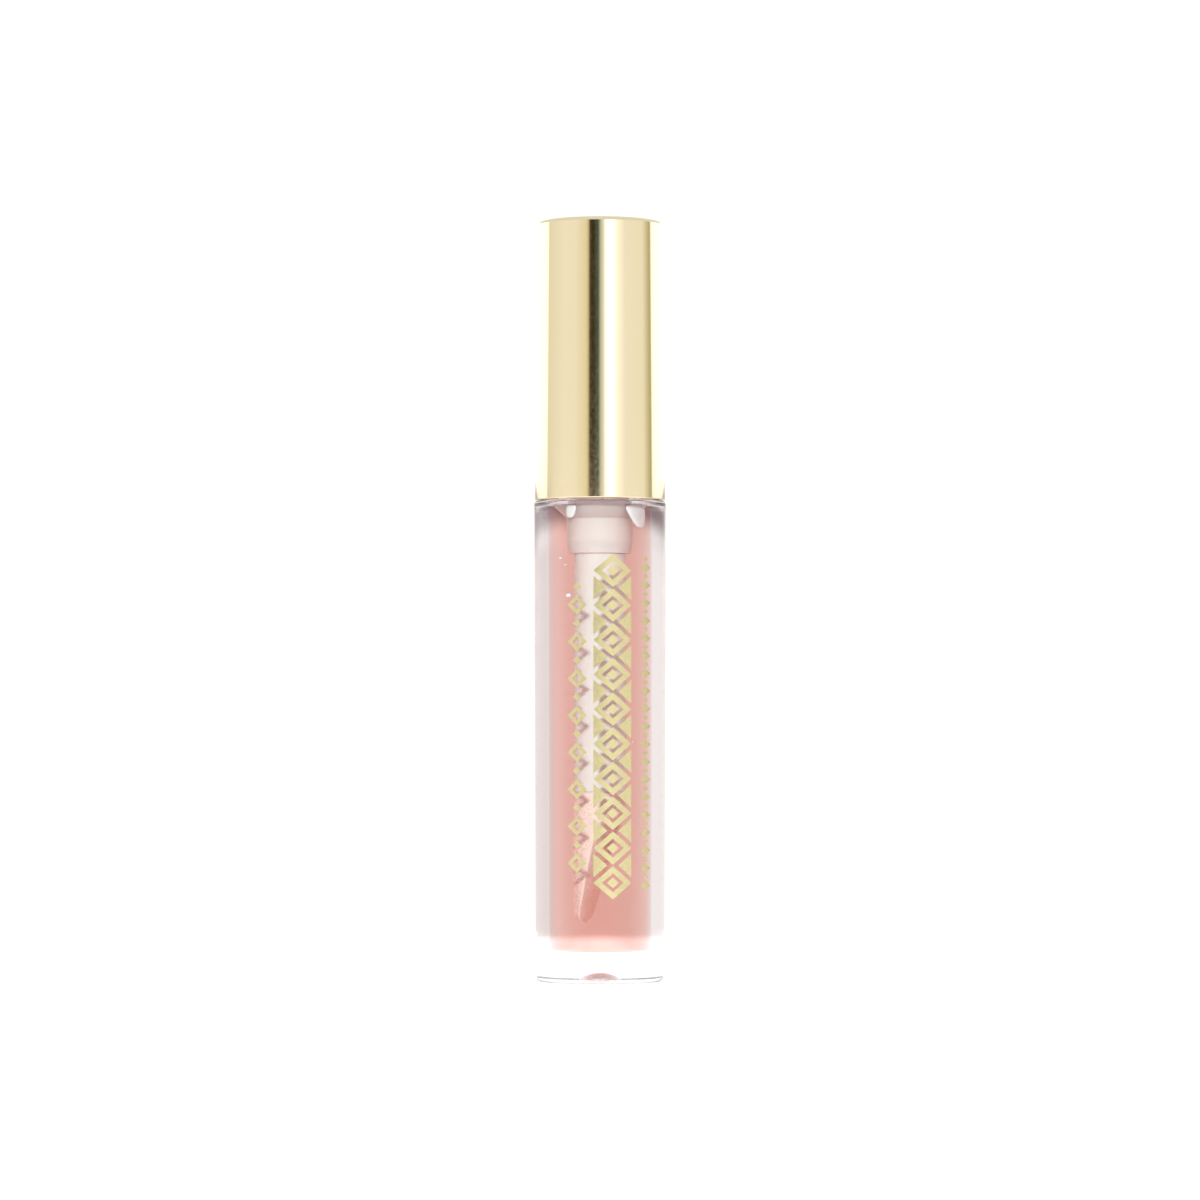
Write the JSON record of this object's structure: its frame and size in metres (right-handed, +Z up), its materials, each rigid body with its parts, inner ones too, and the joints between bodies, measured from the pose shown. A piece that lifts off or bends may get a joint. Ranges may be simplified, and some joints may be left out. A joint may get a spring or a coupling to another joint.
{
  "type": "lip gloss tube",
  "caption": "Clear heavy-walled cosmetic tube with a gold screw cap, an inner wiper and a flocked applicator on a rod.",
  "frame": {"origin": "centre of the flat base, on the tube's axis", "axes": "+Z up along the tube's axis towards the cap, -Y the printed front, +X to the right seen from the front"},
  "size_m": [0.0182, 0.0182, 0.1043],
  "materials": {
    "vial": "clear polished",
    "wiper": "milky, soft",
    "gloss": "clear tinted liquid",
    "stem": "smooth satin",
    "tip_core": "soft matte",
    "tip_flock": "short flocked fibre",
    "inner_cap": "satin moulded",
    "cap_shell": "gold metallised"
  },
  "bodies": {
    "container": {"vial": "vial", "wiper": "wiper", "gloss": "gloss"},
    "rod": {"stem": "stem"},
    "cap": {"cap_shell": "cap_shell", "inner_cap": "inner_cap", "tip_core": "tip_core", "tip_flock": "tip_flock"}
  },
  "joints": [
    {"name": "cap_lift", "type": "slide", "parent": "container", "child": "rod", "axis": [0, 0, 1], "range_m": [0, 0.08]},
    {"name": "cap_twist", "type": "hinge", "parent": "rod", "child": "cap", "pos_m": [0, 0, 0.0663], "axis": [0, 0, 1], "range_deg": [0, 450]}
  ]
}
